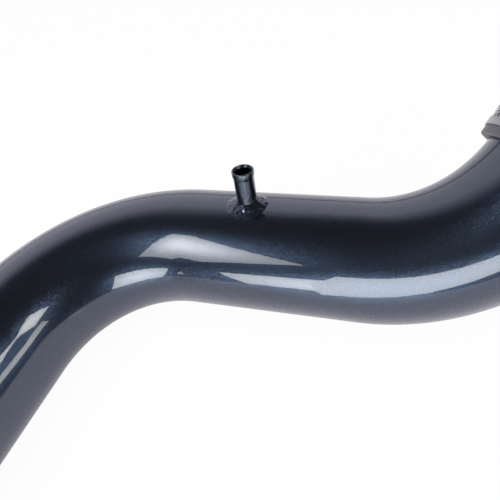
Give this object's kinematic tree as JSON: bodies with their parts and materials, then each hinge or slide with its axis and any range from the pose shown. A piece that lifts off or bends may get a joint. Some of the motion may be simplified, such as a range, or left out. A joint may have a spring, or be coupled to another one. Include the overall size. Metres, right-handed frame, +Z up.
{
  "type": "cold air intake pipe",
  "caption": "Bent air duct tube with a welded breather nipple and a silicone coupler held by worm drive hose clamps.",
  "frame": {"origin": "centre of the filter mouth, on the tube's centre line at its cut end", "axes": "+Y along the first leg into the pipe, +X to the side that the first bend turns to, +Z up as the pipe lies on a bench, which the tube touches at z = -31.75 mm"},
  "size_m": [0.3268, 0.3438, 0.1456],
  "materials": {
    "tube_paint": "midnight blue metallic paint under clear coat, on aluminium",
    "silicone": "satin grey silicone hose",
    "stainless_sheet": "rolled stainless strip with pressed edges",
    "zinc_screw": "zinc plated steel"
  },
  "bodies": {
    "pipe": {"intake_tube": "tube_paint", "breather_nipple": "tube_paint", "nipple_weld": "tube_paint", "silicone_coupler": "silicone", "pipe_clamp_band": "stainless_sheet", "pipe_clamp_saddle": "stainless_sheet", "pipe_clamp_housing": "stainless_sheet", "engine_clamp_band": "stainless_sheet", "engine_clamp_saddle": "stainless_sheet", "engine_clamp_housing": "stainless_sheet"},
    "pipe_clamp_worm": {"pipe_clamp_screw": "zinc_screw"},
    "engine_clamp_worm": {"engine_clamp_screw": "zinc_screw"}
  },
  "joints": [
    {"name": "pipe_clamp_turn", "type": "hinge", "parent": "pipe", "child": "pipe_clamp_worm", "pos_m": [0.25393, 0.24214, 0.06107], "axis": [0.8049, 0.1219, -0.5808], "range_deg": [0, 2880], "deforming": ["pipe_clamp_band"]},
    {"name": "engine_clamp_turn", "type": "hinge", "parent": "pipe", "child": "engine_clamp_worm", "pos_m": [0.27644, 0.2766, 0.09949], "axis": [0.8049, 0.1219, -0.5808], "range_deg": [0, 2880], "deforming": ["engine_clamp_band"]}
  ]
}
